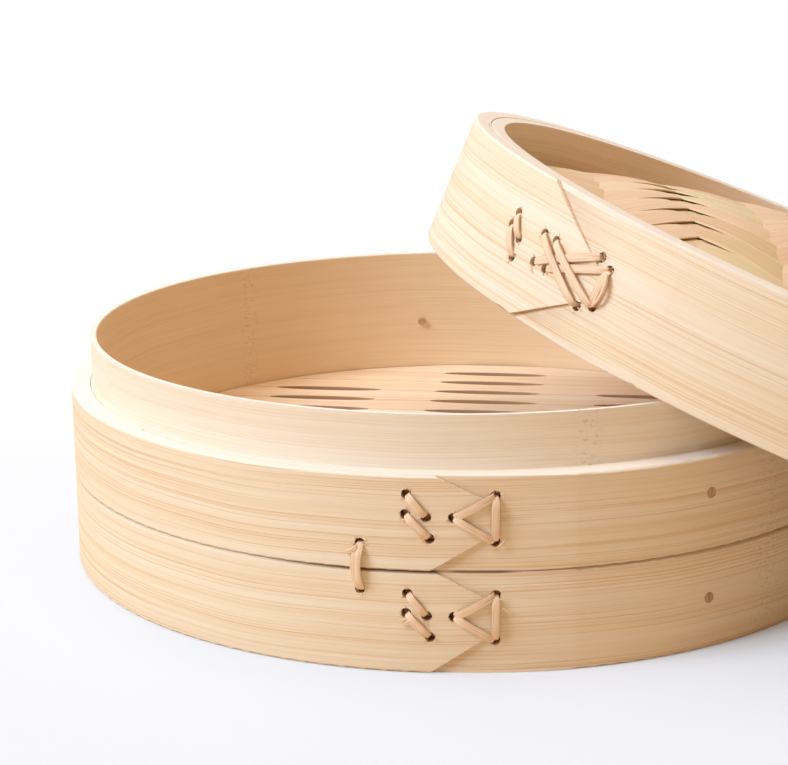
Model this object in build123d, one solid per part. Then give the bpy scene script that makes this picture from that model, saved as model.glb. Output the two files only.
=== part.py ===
from build123d import *
import math
import os

# A single round bamboo steamer tier with its lid leaning on it. Millimetres, +Z up. The origin is on
# the tier's axis, at the foot of its lower outer hoop. The lid is built about its own axis and then
# set down where its low edge meets the table and its rim lies on the tier's lip.

# ---- tier hoops
tier_radius = 127.0  # outside of the two outer hoops
outer_wall = 5.8
inner_wall = 2.6
hoop_gap = 0.2  # between the inner hoop and the outer hoops
lower_height = 29.5
upper_height = 27.3
seam_gap = 0.1  # between the two outer hoops
lip_height = 15.7  # how far the inner hoop stands above the outer hoops
lip_relief = 0.6  # shaved off the lip's outside
recess_depth = 12.0  # from the foot up to the inner hoop, where the next lip nests
recess_relief = 0.7  # shaved off the inside of the foot
edge_round = 0.8  # rounded outer edges of the outer hoops
lip_round = 0.6

# ---- lapped ends of an outer hoop: distances along the surface from the lap's datum, to the right
skive_start = 20.0  # where the under end reaches the full radius
skive_slope = 0.035  # how fast the under end dips below the outer end
skive_gap = 0.25
skive_left = 1.0  # wall left outside the under end's tip
skive_lead = 8.0  # how far before the skive's start its cut begins, outside the wall
lap_end = 5.5  # blunt tip of the pointed outer end
lap_tip_high = 5.0
lap_tip_low = -1.5
lap_root_high = -12.5
lap_root_low = -14.6
tier_lap_azimuth = -90.0

# ---- lacing
strip_width = 2.5
strip_thickness = 0.9
lacing_hole_radius = 1.5
leg_radius = 1.15
channel_side = 0.35  # room beside and over a strip in its groove on the inside of a hoop
bearing_gap = 0.02  # between a lacing strip and the surface it lies on
strip_setback = 0.55  # of a strip behind a tier hoop, past the wall of the nesting recess
lid_back_inset = 0.7  # of a strip behind the lid's outer hoop, past its inside
crossing_lift = 0.8  # how far a strip that crosses over others is lifted
wrap_depth = 3.0  # how far past a strip's own thickness its outline is extruded
lap_window = 12.0  # how far past the pointed end's roots the cut round it reaches

# ---- ties across the seam
tie_azimuths = (-105.1, 14.9, 134.9)
tie_above = 7.6  # hole heights from the seam
tie_below = 5.7
tie_strand = 2.1
tie_thickness = 1.4

# ---- pegs
peg_radius = 1.4
peg_fit = 0.03
peg_proud_out = 0.25
peg_proud_in = 1.2
ledger_peg_proud = 4.0
tier_peg_azimuths = (-59.0, 18.5, 96.0, 168.0)
upper_peg_rise = 16.6  # of the upper pegs above the foot of the upper hoop
lower_peg_rise = 3.2  # of the lower pegs above the nesting recess

# ---- floor
slat_thickness = 4.0
slat_gap = 0.35
slats_each_side = 8  # of the middle slat
floor_margin = 0.7  # from the outermost slats to the floor's circle
floor_turn = -9.0  # direction of the slats
floor_side_gap = 0.4
slot_length = 39.0
slot_half_width = 2.6
slot_spread = 0.4958  # from one column of slots to the next, as a share of the floor's radius
slot_shift = -1.0  # the middle column of slots lies this far off the axis
slot_margin = 5.0  # bamboo kept between a slot and a slat's end
batten_width = 14.0
batten_height = 8.2
tenon_height = 4.0
ledger_wall = 3.2
joint_gap = 0.2

# ---- lid
lid_fit = 3.8  # between the tier's lip and the inside of the lid
lid_wall = 5.3
lid_height = 41.0
lid_inner_wall = 4.4
lid_hoop_gap = 0.2
lid_mouth_clearance = 0.5  # over the lip of a closed tier
lid_lower_hoop_height = 7.4
lid_contact = 52.7  # how far to the right of the tier's axis the leaning lid crosses the lip
lid_lap_azimuth = -140.0
lid_lap_end = 17.0
lid_skive_start = 31.0
lid_lap_tip_high = 2.5
lid_lap_tip_low = -4.0
lid_lap_root_high = -14.2
lid_lap_root_low = -10.9
rest_gap = 0.4  # lid to table and lid to lip
lid_peg_azimuths = (-60.0, 50.0, 160.0)

# ---- woven dome of the lid
dome_crown = 3.6  # of the bulge above the lid's upper rim
dome_power = 2.0  # 2 is a parabola, more is flatter on top
weave_thickness = 1.15
weave_gap = 0.1
dome_side_gap = 0.6  # between the foot of the bulge and the inner hoops

# ---- what follows from them
upper_base = lower_height + seam_gap
tier_height = upper_base + upper_height
outer_bore = tier_radius - outer_wall
inner_outside = outer_bore - hoop_gap
inner_inside = inner_outside - inner_wall
hoop_top = tier_height + lip_height
recess_radius = outer_bore + recess_relief
lip_radius = inner_outside - lip_relief
back_inset = recess_relief + strip_setback
lower_peg_height = recess_depth + lower_peg_rise
upper_peg_height = upper_base + upper_peg_rise
ledger_base = lower_peg_height + peg_radius + bearing_gap
batten_base = ledger_base
slat_base = batten_base + batten_height
floor_radius = inner_inside - floor_side_gap
slat_pitch = (floor_radius - floor_margin) / (slats_each_side + 0.5)
slot_pitch = slot_spread * floor_radius
ledger_outside = inner_inside - joint_gap
lid_bore = lip_radius + lid_fit
lid_radius = lid_bore + lid_wall
lid_inner_outside = lid_bore - lid_hoop_gap
lid_inner_inside = lid_inner_outside - lid_inner_wall
lid_mouth_depth = lip_height + lid_mouth_clearance
dome_edge_height = lid_mouth_depth + lid_lower_hoop_height  # underside of its flat rim
dome_rise = lid_height + dome_crown - dome_edge_height
dome_radius = lid_inner_outside - joint_gap
dome_inner_radius = lid_inner_inside - dome_side_gap
lining_top = dome_edge_height + weave_thickness
outer_weave_base = lining_top + weave_gap
dome_edge_top = outer_weave_base + weave_thickness

os.makedirs("parts", exist_ok=True)


def write(name, *pieces):
    """Write one node's solids to its own STEP file."""
    solids = [solid for piece in pieces for solid in piece.solids()]
    export_step(Compound(children=solids) if len(solids) > 1 else solids[0], f"parts/{name}.step")


def ring(outside, inside, base, top):
    """A plain ring round the Z axis."""
    return Pos(0, 0, base) * extrude(Circle(outside) - Circle(inside), top - base)


def rounded_ring(outside, inside, base, top, radius, inner_radius=0.0):
    """A ring whose outer edges, and if asked its inner edges, are rounded."""
    section = Pos((outside + inside) / 2, (base + top) / 2) * Rectangle(outside - inside, top - base)
    section = fillet(section.vertices().group_by(Axis.X)[-1], radius)
    if inner_radius:
        section = fillet(section.vertices().group_by(Axis.X)[0], inner_radius)
    return revolve(Plane.XZ * section, Axis.Z)


def on_wall(radius, azimuth, height):
    """A plane that touches a cylinder: x runs anticlockwise round it, y runs up and z points out."""
    angle = math.radians(azimuth)
    outward = Vector(math.cos(angle), math.sin(angle), 0)
    along = Vector(-math.sin(angle), math.cos(angle), 0)
    return Plane(origin=outward * radius + Vector(0, 0, height), x_dir=along, z_dir=outward)


def round_wall(radius, azimuth, along):
    """The azimuth at a distance along the wall from another azimuth."""
    return azimuth + math.degrees(along / radius)


class Wall:
    """The wall of an outer hoop, which places holes, strips and channels by distance and height.

    Strips behind the wall lie in channels, inset by a distance past the bore.
    """

    def __init__(self, outside, bore, azimuth, middle, inset):
        self.outside = outside
        self.bore = bore
        self.azimuth = azimuth
        self.middle = middle
        self.behind = bore + inset

    def plane(self, radius, along, up):
        """The plane that touches the wall at a place given from the datum and the middle height."""
        return on_wall(radius, round_wall(self.outside, self.azimuth, along), self.middle + up)

    def pin(self, place, radius, low, high):
        """A round pin through the wall, between two distances from the hoop's axis."""
        return self.plane(low, *place) * extrude(Circle(radius), high - low)

    def strips(self, runs, width, low, thickness):
        """Strips of even thickness bent round the wall along straight runs, fused where they cross."""
        shrink = low / self.outside
        along = sum(start[0] + end[0] for start, end in runs) / (2 * len(runs))
        outline = Sketch()
        for start, end in runs:
            run = ((end[0] - start[0]) * shrink, end[1] - start[1])
            middle = ((start[0] + end[0]) / 2 - along) * shrink, (start[1] + end[1]) / 2
            turn = math.degrees(math.atan2(run[1], run[0]))
            outline += Pos(*middle) * Rot(0, 0, turn) * SlotCenterToCenter(math.hypot(*run), width)
        block = self.plane(low - wrap_depth, along, 0) * extrude(outline, thickness + 2 * wrap_depth)
        tall = 2 * (tier_height + lid_height)
        return block & Pos(0, 0, self.middle - tall / 2) * ring(low + thickness, low, 0, tall)

    def channels(self, runs):
        """Channels in the inside of the wall for strips along straight runs."""
        depth = self.behind + strip_thickness + channel_side - self.bore
        return self.strips(runs, strip_width + 2 * channel_side, self.bore - 1, depth + 1)


class Lacing:
    """A strip laced through holes in a wall: runs in front, runs behind and a leg in each hole.

    Each hole has a letter and a place, and a run is the letters of the two holes it joins.
    """

    def __init__(self, holes, front, back, over=()):
        self.holes = holes
        self.front = front
        self.back = back
        self.over = over

    def runs(self, pairs):
        """Pairs of hole names as pairs of places."""
        return [(self.holes[start], self.holes[end]) for start, end in pairs]

    def strips(self, wall):
        """The lacing itself, all its strips and legs fused."""
        front = wall.outside + bearing_gap
        pieces = [
            wall.strips(self.runs(self.front), strip_width, front, strip_thickness),
            wall.strips(self.runs(self.back), strip_width, wall.behind, strip_thickness),
        ]
        if self.over:
            lifted = front + crossing_lift
            pieces.append(wall.strips(self.runs(self.over), strip_width, lifted, strip_thickness))
        foot = wall.behind + strip_thickness / 2
        for name, place in self.holes.items():
            top = front + crossing_lift if name in "".join(self.over) else front
            pieces.append(wall.pin(place, leg_radius, foot, top + strip_thickness / 2))
        return fuse_all(pieces)

    def cutters(self, wall):
        """The holes through a wall and the channels behind them."""
        span = (wall.bore - 1, wall.outside + 1)
        holes = [wall.pin(place, lacing_hole_radius, *span) for place in self.holes.values()]
        return holes + [wall.channels(self.runs(self.back))]


def fuse_all(pieces):
    """One shape from several."""
    whole = pieces[0]
    for piece in pieces[1:]:
        whole = whole + piece
    return whole


def cut_all(solid, cutters):
    """A solid less several others."""
    for cutter in cutters:
        solid = solid - cutter
    return solid


def plan_point(radius, azimuth, along, wall_radius):
    """A point in plan at a radius, a distance along the wall from an azimuth."""
    angle = math.radians(round_wall(wall_radius, azimuth, along))
    return (radius * math.cos(angle), radius * math.sin(angle))


def between(one, other):
    """The face between two curves that run the same way."""
    return make_face([one, other, Line(one @ 0, other @ 0), Line(one @ 1, other @ 1)])


def skive_arc(wall, wall_thickness, start, inward):
    """The arc in plan along which the under end dips beneath the outer end."""
    deepest = wall_thickness - skive_left
    finish = start - deepest / skive_slope
    before = start + skive_lead
    stations = (before, (before + finish) / 2, finish)
    points = [
        plan_point(wall.outside - skive_slope * (start - along) - inward, wall.azimuth, along, wall.outside)
        for along in stations
    ]
    return ThreePointArc(*points), finish


def lap_cutter(wall, height, start, flap):
    """What is cut from a closed ring to leave two lapped ends with a pointed outer end."""
    thickness = wall.outside - wall.bore
    base = wall.middle - height / 2 - 1
    tall = height + 2
    outer_arc, finish = skive_arc(wall, thickness, start, 0.0)
    inner_arc, finish = skive_arc(wall, thickness, start, skive_gap)
    slit = Pos(0, 0, base) * extrude(between(outer_arc, inner_arc), tall)
    blunt_end = extrude(Rectangle(2 * skive_gap, tall), skive_left + 1 + skive_gap)
    blunt_end = wall.plane(wall.bore - 1, finish, 0) * blunt_end
    stations = (start + skive_lead, (start + skive_lead + finish) / 2, finish)
    beyond = [plan_point(wall.outside + 2, wall.azimuth, along, wall.outside) for along in stations]
    far_arc = ThreePointArc(*beyond)
    outer_zone = Pos(0, 0, base) * extrude(between(outer_arc, far_arc), tall)
    left = min(point[0] for point in flap) - lap_window
    right = start + skive_lead
    window = Pos((left + right) / 2, 0) * Rectangle(right - left, tall)
    window -= make_face(Polyline((left - 1, flap[0][1]), *flap, (left - 1, flap[-1][1]), close=True))
    window = wall.plane(wall.outside - 2 * thickness, 0, 0) * extrude(window, 3 * thickness)
    return slit, blunt_end, outer_zone & window


def flap_outline(root_high, root_low, tip, tip_high, tip_low, height):
    """The pointed outer end, from its upper root round its blunt tip to its lower root."""
    rise = (height / 2 - tip_high) / (tip - root_high)
    fall = (height / 2 + tip_low) / (tip - root_low)
    over = 2.0
    return [
        (root_high - over / rise, height / 2 + over),
        (tip, tip_high),
        (tip, tip_low),
        (root_low - over / fall, -height / 2 - over),
    ]


def lapped_hoop(ring_solid, wall, height, start, flap, lacings):
    """An outer hoop with its lapped ends cut and its lacing holes made."""
    hoop = ring_solid
    for cutter in lap_cutter(wall, height, start, flap):
        hoop = hoop - cutter
    for lacing in lacings:
        hoop = cut_all(hoop, lacing.cutters(wall))
    return hoop


def pegs(azimuths, height, low, high):
    """Round pegs, one at each azimuth, between two distances from the axis."""
    return [on_wall(low, azimuth, height) * extrude(Circle(peg_radius), high - low) for azimuth in azimuths]


def peg_holes(azimuths, height, low, high):
    """Holes that hold the pegs."""
    radius = peg_radius + peg_fit
    return [on_wall(low, azimuth, height) * extrude(Circle(radius), high - low) for azimuth in azimuths]


# ---- lacing patterns, as distances to the right of the lap's datum and heights from mid hoop
stitch_lacing = Lacing(
    holes={"a": (-20.2, 8.5), "b": (-14.9, 2.1), "c": (-20.6, 2.8), "d": (-14.0, -4.0)},
    front=("ab", "cd"),
    back=("ac", "bd"),
)
triangle_lacing = Lacing(
    holes={"a": (-7.4, 2.0), "b": (4.2, 8.0), "c": (4.0, -5.0)},
    front=("ab", "bc", "ca"),
    back=("ab", "ca"),
)
lid_stitch_lacing = Lacing(
    holes={"a": (-24.1, 6.5), "b": (-19.3, 0.0), "c": (-25.2, 2.6), "d": (-19.0, -5.7)},
    front=("ab", "cd"),
    back=("ac", "bd"),
)
lid_cross_lacing = Lacing(
    holes={
        "a": (-9.6, 5.3), "b": (-4.1, 5.2), "c": (-9.4, -3.4), "d": (-4.0, -3.4),
        "e": (13.0, 7.3), "f": (17.2, 5.0), "g": (11.5, -8.3), "h": (16.7, -6.3),
    },
    front=("ce", "df", "fh"),
    back=("ac", "bd", "gh", "ef"),
    over=("ag", "bh"),
)

# ---- tier: two lapped outer hoops
lower_wall = Wall(tier_radius, outer_bore, tier_lap_azimuth, lower_height / 2, back_inset)
upper_wall = Wall(tier_radius, outer_bore, tier_lap_azimuth, upper_base + upper_height / 2, back_inset)

lower_ring = rounded_ring(tier_radius, outer_bore, 0, lower_height, edge_round)
lower_ring = lower_ring - ring(recess_radius, outer_bore - 1, -1, recess_depth)
upper_ring = rounded_ring(tier_radius, outer_bore, upper_base, tier_height, edge_round)

tier_lacings = [stitch_lacing, triangle_lacing]
lower_flap = flap_outline(lap_root_high, lap_root_low, lap_end, lap_tip_high, lap_tip_low, lower_height)
upper_flap = flap_outline(lap_root_high, lap_root_low, lap_end, lap_tip_high, lap_tip_low, upper_height)
lower_hoop = lapped_hoop(lower_ring, lower_wall, lower_height, skive_start, lower_flap, tier_lacings)
upper_hoop = lapped_hoop(upper_ring, upper_wall, upper_height, skive_start, upper_flap, tier_lacings)

# ---- ties that bind the outer hoops across their seam
tie_ends = ((0, -tie_below), (0, tie_above))
tie_strands = [((aside, -tie_below), (aside, tie_above)) for aside in (-tie_strand / 2, tie_strand / 2)]
tie_lashes = []
for azimuth in tie_azimuths:
    wall = Wall(tier_radius, outer_bore, azimuth, lower_height + seam_gap / 2, back_inset)
    front = wall.strips(tie_strands, tie_strand, tier_radius + bearing_gap, tie_thickness)
    back = wall.strips([tie_ends], strip_width, wall.behind, strip_thickness)
    foot = wall.behind + strip_thickness / 2
    legs = [wall.pin(end, leg_radius, foot, tier_radius + tie_thickness / 2) for end in tie_ends]
    tie_lashes.append(fuse_all([front, back] + legs))
    holes = [wall.pin(end, lacing_hole_radius, outer_bore - 1, tier_radius + 2) for end in tie_ends]
    cutters = holes + [wall.channels([tie_ends])]
    lower_hoop = cut_all(lower_hoop, cutters)
    upper_hoop = cut_all(upper_hoop, cutters)

# ---- inner hoop
inner_hoop = rounded_ring(inner_outside, inner_inside, recess_depth, hoop_top, lip_round, lip_round)
inner_hoop = inner_hoop - ring(inner_outside + 1, lip_radius, tier_height, hoop_top + 1)

# ---- pegs through both walls
peg_head = tier_radius + peg_proud_out
upper_pegs = pegs(tier_peg_azimuths, upper_peg_height, inner_inside - peg_proud_in, peg_head)
lower_pegs = pegs(tier_peg_azimuths, lower_peg_height, inner_inside - ledger_peg_proud, peg_head)
upper_holes = peg_holes(tier_peg_azimuths, upper_peg_height, inner_inside - 2, tier_radius + 1)
lower_holes = peg_holes(tier_peg_azimuths, lower_peg_height, inner_inside - 2, tier_radius + 1)
upper_hoop = cut_all(upper_hoop, upper_holes)
lower_hoop = cut_all(lower_hoop, lower_holes)
inner_hoop = cut_all(inner_hoop, upper_holes + lower_holes)

write("inner_hoop", inner_hoop)
write("lower_outer_hoop", lower_hoop)
write("upper_outer_hoop", upper_hoop)
write("lower_hoop_stitches", stitch_lacing.strips(lower_wall))
write("upper_hoop_stitches", stitch_lacing.strips(upper_wall))
write("lower_triangle_lacing", triangle_lacing.strips(lower_wall))
write("upper_triangle_lacing", triangle_lacing.strips(upper_wall))
write("front_tie_lash", tie_lashes[0])
write("rear_tie_lashes", *tie_lashes[1:])
write("upper_hoop_pegs", *upper_pegs)
write("lower_hoop_pegs", *lower_pegs)

# ---- floor: battens tenoned into a ledger hoop, with slats across them
turned = Rot(0, 0, floor_turn)
slot_columns = [slot_shift + slot_pitch * step for step in range(-2, 3)]
batten_places = [slot_shift + slot_pitch * (step - 0.5) for step in range(-1, 3)]

ledger = ring(ledger_outside, ledger_outside - ledger_wall, ledger_base, slat_base)
notch_base = slat_base - tenon_height
shoulder_radius = ledger_outside - ledger_wall - joint_gap
tenon_radius = ledger_outside - joint_gap


def across(place, width, base, height, radius):
    """A bar across the floor at a distance from its middle, with its ends on a circle."""
    outline = Pos(place, 0) * Rectangle(width, 4 * tier_radius) & Circle(radius)
    return Pos(0, 0, base) * extrude(outline, height)


for number, place in enumerate(batten_places, start=1):
    body = across(place, batten_width, batten_base, batten_height, shoulder_radius)
    tenon = across(place, batten_width, notch_base + joint_gap, tenon_height - joint_gap, tenon_radius)
    write(f"cross_batten_{number}", turned * (body + tenon))
    notch = across(place, batten_width + 2 * joint_gap, notch_base, tenon_height + 1, tier_radius)
    ledger = ledger - turned * notch
write("ledger_hoop", ledger)

for number in range(1, 2 * slats_each_side + 2):
    middle = (number - 1 - slats_each_side) * slat_pitch
    slat = Pos(0, middle) * Rectangle(2 * tier_radius, slat_pitch - slat_gap) & Circle(floor_radius)
    for edge in (middle - slat_pitch / 2, middle + slat_pitch / 2):
        reach = math.sqrt(max(floor_radius**2 - edge**2, 0.0)) - slot_margin
        for column in slot_columns:
            if abs(column) + slot_length / 2 < reach:
                slat -= Pos(column, edge) * Ellipse(slot_length / 2, slot_half_width)
    write(f"floor_slat_{number:02d}", turned * Pos(0, 0, slat_base) * extrude(slat, slat_thickness))

# ---- lid, about its own axis
lid_wall_frame = Wall(lid_radius, lid_bore, lid_lap_azimuth, lid_height / 2, lid_back_inset)
lid_ring = rounded_ring(lid_radius, lid_bore, 0, lid_height, edge_round)
lid_flap = flap_outline(
    lid_lap_root_high, lid_lap_root_low, lid_lap_end, lid_lap_tip_high, lid_lap_tip_low, lid_height
)
lid_lacings = [lid_stitch_lacing, lid_cross_lacing]
lid_hoop = lapped_hoop(lid_ring, lid_wall_frame, lid_height, lid_skive_start, lid_flap, lid_lacings)
lower_lid_hoop = ring(lid_inner_outside, lid_inner_inside, lid_mouth_depth, dome_edge_height)
upper_lid_base = dome_edge_top + bearing_gap
upper_lid_hoop = rounded_ring(lid_inner_outside, lid_inner_inside, upper_lid_base, lid_height, lip_round)
lid_lower_peg_height = (lid_mouth_depth + dome_edge_height) / 2
lid_upper_peg_height = (upper_lid_base + lid_height) / 2
lid_peg_span = (lid_inner_inside - peg_proud_out, lid_radius + peg_proud_out)
lid_lower_pegs = pegs(lid_peg_azimuths, lid_lower_peg_height, *lid_peg_span)
lid_upper_pegs = pegs(lid_peg_azimuths, lid_upper_peg_height, *lid_peg_span)
lid_lower_holes = peg_holes(lid_peg_azimuths, lid_lower_peg_height, lid_inner_inside - 1, lid_radius + 1)
lid_upper_holes = peg_holes(lid_peg_azimuths, lid_upper_peg_height, lid_inner_inside - 1, lid_radius + 1)
lid_hoop = cut_all(lid_hoop, lid_lower_holes + lid_upper_holes)
lower_lid_hoop = cut_all(lower_lid_hoop, lid_lower_holes)
upper_lid_hoop = cut_all(upper_lid_hoop, lid_upper_holes)


def dome_height(radius):
    """How far the dome stands above its flat rim at a distance from its axis."""
    return dome_rise * (1 - (radius / dome_inner_radius) ** dome_power)


def dome_layer(base):
    """One layer of the woven dome: a flat rim and a flat-topped bulge of even thickness."""
    stations = [dome_inner_radius * step / 8 for step in range(9)]
    under = [(radius, base + dome_height(radius)) for radius in stations]
    over = [(radius, height + weave_thickness) for radius, height in under]
    lower_curve = Spline(*under, tangents=[(1, 0), (1, -dome_power * dome_rise / dome_inner_radius)])
    upper_curve = Spline(*over, tangents=[(1, 0), (1, -dome_power * dome_rise / dome_inner_radius)])
    rim = Polyline(under[-1], (dome_radius, base), (dome_radius, base + weave_thickness), over[-1])
    section = make_face([lower_curve, rim, upper_curve, Line(over[0], under[0])])
    return revolve(Plane.XZ * section, Axis.Z)


# ---- the leaning place of the lid: its low edge on the table, its inner edge on the lip
crossing = -math.sqrt(lid_contact**2 + lid_bore**2 - inner_outside**2)
lean = math.asin(hoop_top / (lid_radius - crossing))
lid_base_height = lid_radius * math.sin(lean) + rest_gap
lid_reach = lid_contact - crossing * math.cos(lean)
leaning = Pos(lid_reach, 0, lid_base_height) * Rot(0, math.degrees(lean), 0)

write("lid_outer_hoop", leaning * lid_hoop)
write("lid_lower_inner_hoop", leaning * lower_lid_hoop)
write("lid_upper_inner_hoop", leaning * upper_lid_hoop)
write("dome_lining", leaning * dome_layer(dome_edge_height))
write("dome_outer_weave", leaning * dome_layer(outer_weave_base))
write("lid_stitches", leaning * lid_stitch_lacing.strips(lid_wall_frame))
write("lid_cross_lacing", leaning * lid_cross_lacing.strips(lid_wall_frame))
write("lid_lower_pegs", *[leaning * peg for peg in lid_lower_pegs])
write("lid_upper_pegs", *[leaning * peg for peg in lid_upper_pegs])
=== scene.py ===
"""A bamboo steamer tier with its woven lid leaning on it: finishes, woven dome, lacing and a plain studio."""

import logging
import math
import random
from dataclasses import dataclass, field
from enum import Enum
from typing import Any, Iterable, Sequence

import bpy
from mathutils import Matrix, Vector


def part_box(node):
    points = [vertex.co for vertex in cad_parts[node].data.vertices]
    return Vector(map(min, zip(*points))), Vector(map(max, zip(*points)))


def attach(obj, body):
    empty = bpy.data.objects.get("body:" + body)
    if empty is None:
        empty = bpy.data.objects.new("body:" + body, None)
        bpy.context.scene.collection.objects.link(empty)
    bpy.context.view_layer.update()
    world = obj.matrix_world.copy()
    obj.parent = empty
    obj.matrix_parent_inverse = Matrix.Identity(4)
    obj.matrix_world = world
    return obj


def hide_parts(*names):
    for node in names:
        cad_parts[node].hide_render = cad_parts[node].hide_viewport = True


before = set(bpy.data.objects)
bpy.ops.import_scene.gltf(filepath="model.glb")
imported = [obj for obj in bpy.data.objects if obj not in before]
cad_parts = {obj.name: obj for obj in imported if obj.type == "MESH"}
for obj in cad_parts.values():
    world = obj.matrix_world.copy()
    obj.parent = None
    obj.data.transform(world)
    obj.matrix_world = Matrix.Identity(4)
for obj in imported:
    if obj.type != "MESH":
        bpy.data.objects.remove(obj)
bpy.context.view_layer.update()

MM = 0.001

# How far the lower face of the lid's lower inner hoop lies above the lid's foot
LID_HOOP_RISE = 16.2 * MM

log = logging.getLogger("steamer")

# Short names for the shader nodes that most finishes use
MATH = "ShaderNodeMath"
MIX = "ShaderNodeMix"
NOISE = "ShaderNodeTexNoise"
RANGE = "ShaderNodeMapRange"
JOIN = "ShaderNodeCombineXYZ"
SPLIT = "ShaderNodeSeparateXYZ"

# A colour that lies over others: its share, as a number or a socket, and its hex code
Layer = tuple[Any, str]

# A strip's way over a wall: places along, up and out, in mm
Route = Sequence[tuple[float, float, float]]


def linear(code: str) -> tuple[float, float, float, float]:
    """Turn an sRGB hex colour into linear values.

    Args:
        code: Six hex digits, with or without a leading #.

    Returns:
        Red, green, blue and an alpha of 1.
    """
    digits = code.lstrip("#")
    parts = [int(digits[start:start + 2], 16) / 255 for start in (0, 2, 4)]
    red, green, blue = (p / 12.92 if p <= 0.04045 else ((p + 0.055) / 1.055) ** 2.4 for p in parts)
    return red, green, blue, 1.0


def add(
    tree: bpy.types.NodeTree, kind: str, inputs: dict[Any, Any] | None = None, **settings: Any
) -> bpy.types.Node:
    """Add a node to a tree with its settings, values and links.

    Args:
        tree: The tree that gets the node.
        kind: The node's type name.
        inputs: Input name or number to a value, a socket, or a node whose first output is meant.
        settings: Properties set on the node itself, before its inputs.

    Returns:
        The new node.
    """
    node = tree.nodes.new(kind)
    for name, value in settings.items():
        setattr(node, name, value)
    for key, value in (inputs or {}).items():
        if isinstance(value, bpy.types.Node):
            value = value.outputs[0]
        if isinstance(value, bpy.types.NodeSocket):
            tree.links.new(value, node.inputs[key])
        else:
            node.inputs[key].default_value = value
    return node


@dataclass(frozen=True)
class Ring:
    """A round frame of reference: a centre on an axis that leans about Y."""

    centre: Vector
    lean: float = 0.0

    @property
    def matrix(self) -> Matrix:
        """From the ring's own coordinates to the row's."""
        return Matrix.Translation(self.centre) @ Matrix.Rotation(self.lean, 4, "Y")

    def place(self, radius: float, azimuth: float, height: float) -> Vector:
        """A point from a radius, an azimuth in degrees and a height, in metres."""
        angle = math.radians(azimuth)
        return self.matrix @ Vector((radius * math.cos(angle), radius * math.sin(angle), height))


def leaning_ring(node: str, drop: float) -> Ring:
    """Find the leaning frame of a plain ring from the box that it fills.

    Args:
        node: A CAD node that is a plain round ring leaning about Y.
        drop: How far the frame's centre lies below the ring's lower face, along its axis.

    Returns:
        The frame, with its centre on the ring's axis.
    """
    low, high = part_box(node)
    size = high - low
    across = size.y
    flat, steep = math.radians(5), math.radians(40)
    for _ in range(40):
        lean = (flat + steep) / 2
        tall = (size.x - across * math.cos(lean)) / math.sin(lean)
        if across * math.sin(lean) + tall * math.cos(lean) < size.z:
            flat = lean
        else:
            steep = lean
    foot = Vector((high.x - across / 2 * math.cos(lean) - tall * math.sin(lean), (low.y + high.y) / 2, 0))
    foot.z = low.z + across / 2 * math.sin(lean)
    return Ring(foot - drop * Vector((math.sin(lean), 0, math.cos(lean))), lean)


@dataclass(frozen=True)
class Finish:
    """What the finishes share: an empty tree, colours laid over each other, and a satin skin."""

    name: str

    def empty(self) -> bpy.types.Material:
        """Make the material, with nothing in its tree.

        Returns:
            The material.
        """
        made = bpy.data.materials.new(self.name)
        made.use_nodes = True
        made.node_tree.nodes.clear()
        return made

    def lay(self, tree: bpy.types.NodeTree, base: Any, layers: Iterable[Layer]) -> Any:
        """Lay colours over a base, in order.

        Args:
            tree: The material's tree.
            base: The colour below, as four values or a socket.
            layers: The colours over it.

        Returns:
            The socket with the colour that shows.
        """
        for share, code in layers:
            base = add(tree, MIX, {0: share, 6: base, 7: linear(code)}, data_type="RGBA").outputs[2]
        return base

    def skin(
        self, tree: bpy.types.NodeTree, colour: Any, rough: Any, relief: Any, strength: float,
        depth: float = 0.12, gloss: float = 0.3,
    ) -> None:
        """End the tree with a satin skin.

        Args:
            tree: The material's tree.
            colour: Socket with its colour.
            rough: Roughness, as a number or a socket.
            relief: Socket with the height of its relief.
            strength: How much of the relief shows.
            depth: Depth of the relief, in mm.
            gloss: Specular level.
        """
        bump = add(tree, "ShaderNodeBump", {"Strength": strength, "Distance": depth * MM, "Height": relief})
        look = {"Base Color": colour, "Roughness": rough, "Specular IOR Level": gloss, "IOR": 1.5}
        shader = add(tree, "ShaderNodeBsdfPrincipled", {**look, "Normal": bump})
        add(tree, "ShaderNodeOutputMaterial", {"Surface": shader})


@dataclass(frozen=True)
class Spot:
    """Where a point of bamboo lies: sockets for mm along, across and into it, and a key for its tone."""

    tree: bpy.types.NodeTree
    along: Any
    across: Any
    depth: Any
    key: Any


class Grain(Enum):
    """Which way the fibres of a bamboo piece run."""

    ROUND = "round the hoop"
    ALONG = "along the slat"


@dataclass(frozen=True)
class Lap:
    """The pointed end of a lapped hoop, in mm along the surface from its datum and up from mid height."""

    azimuth: float
    tip: float
    tip_high: float
    tip_low: float
    root_high: float
    root_low: float


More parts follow.
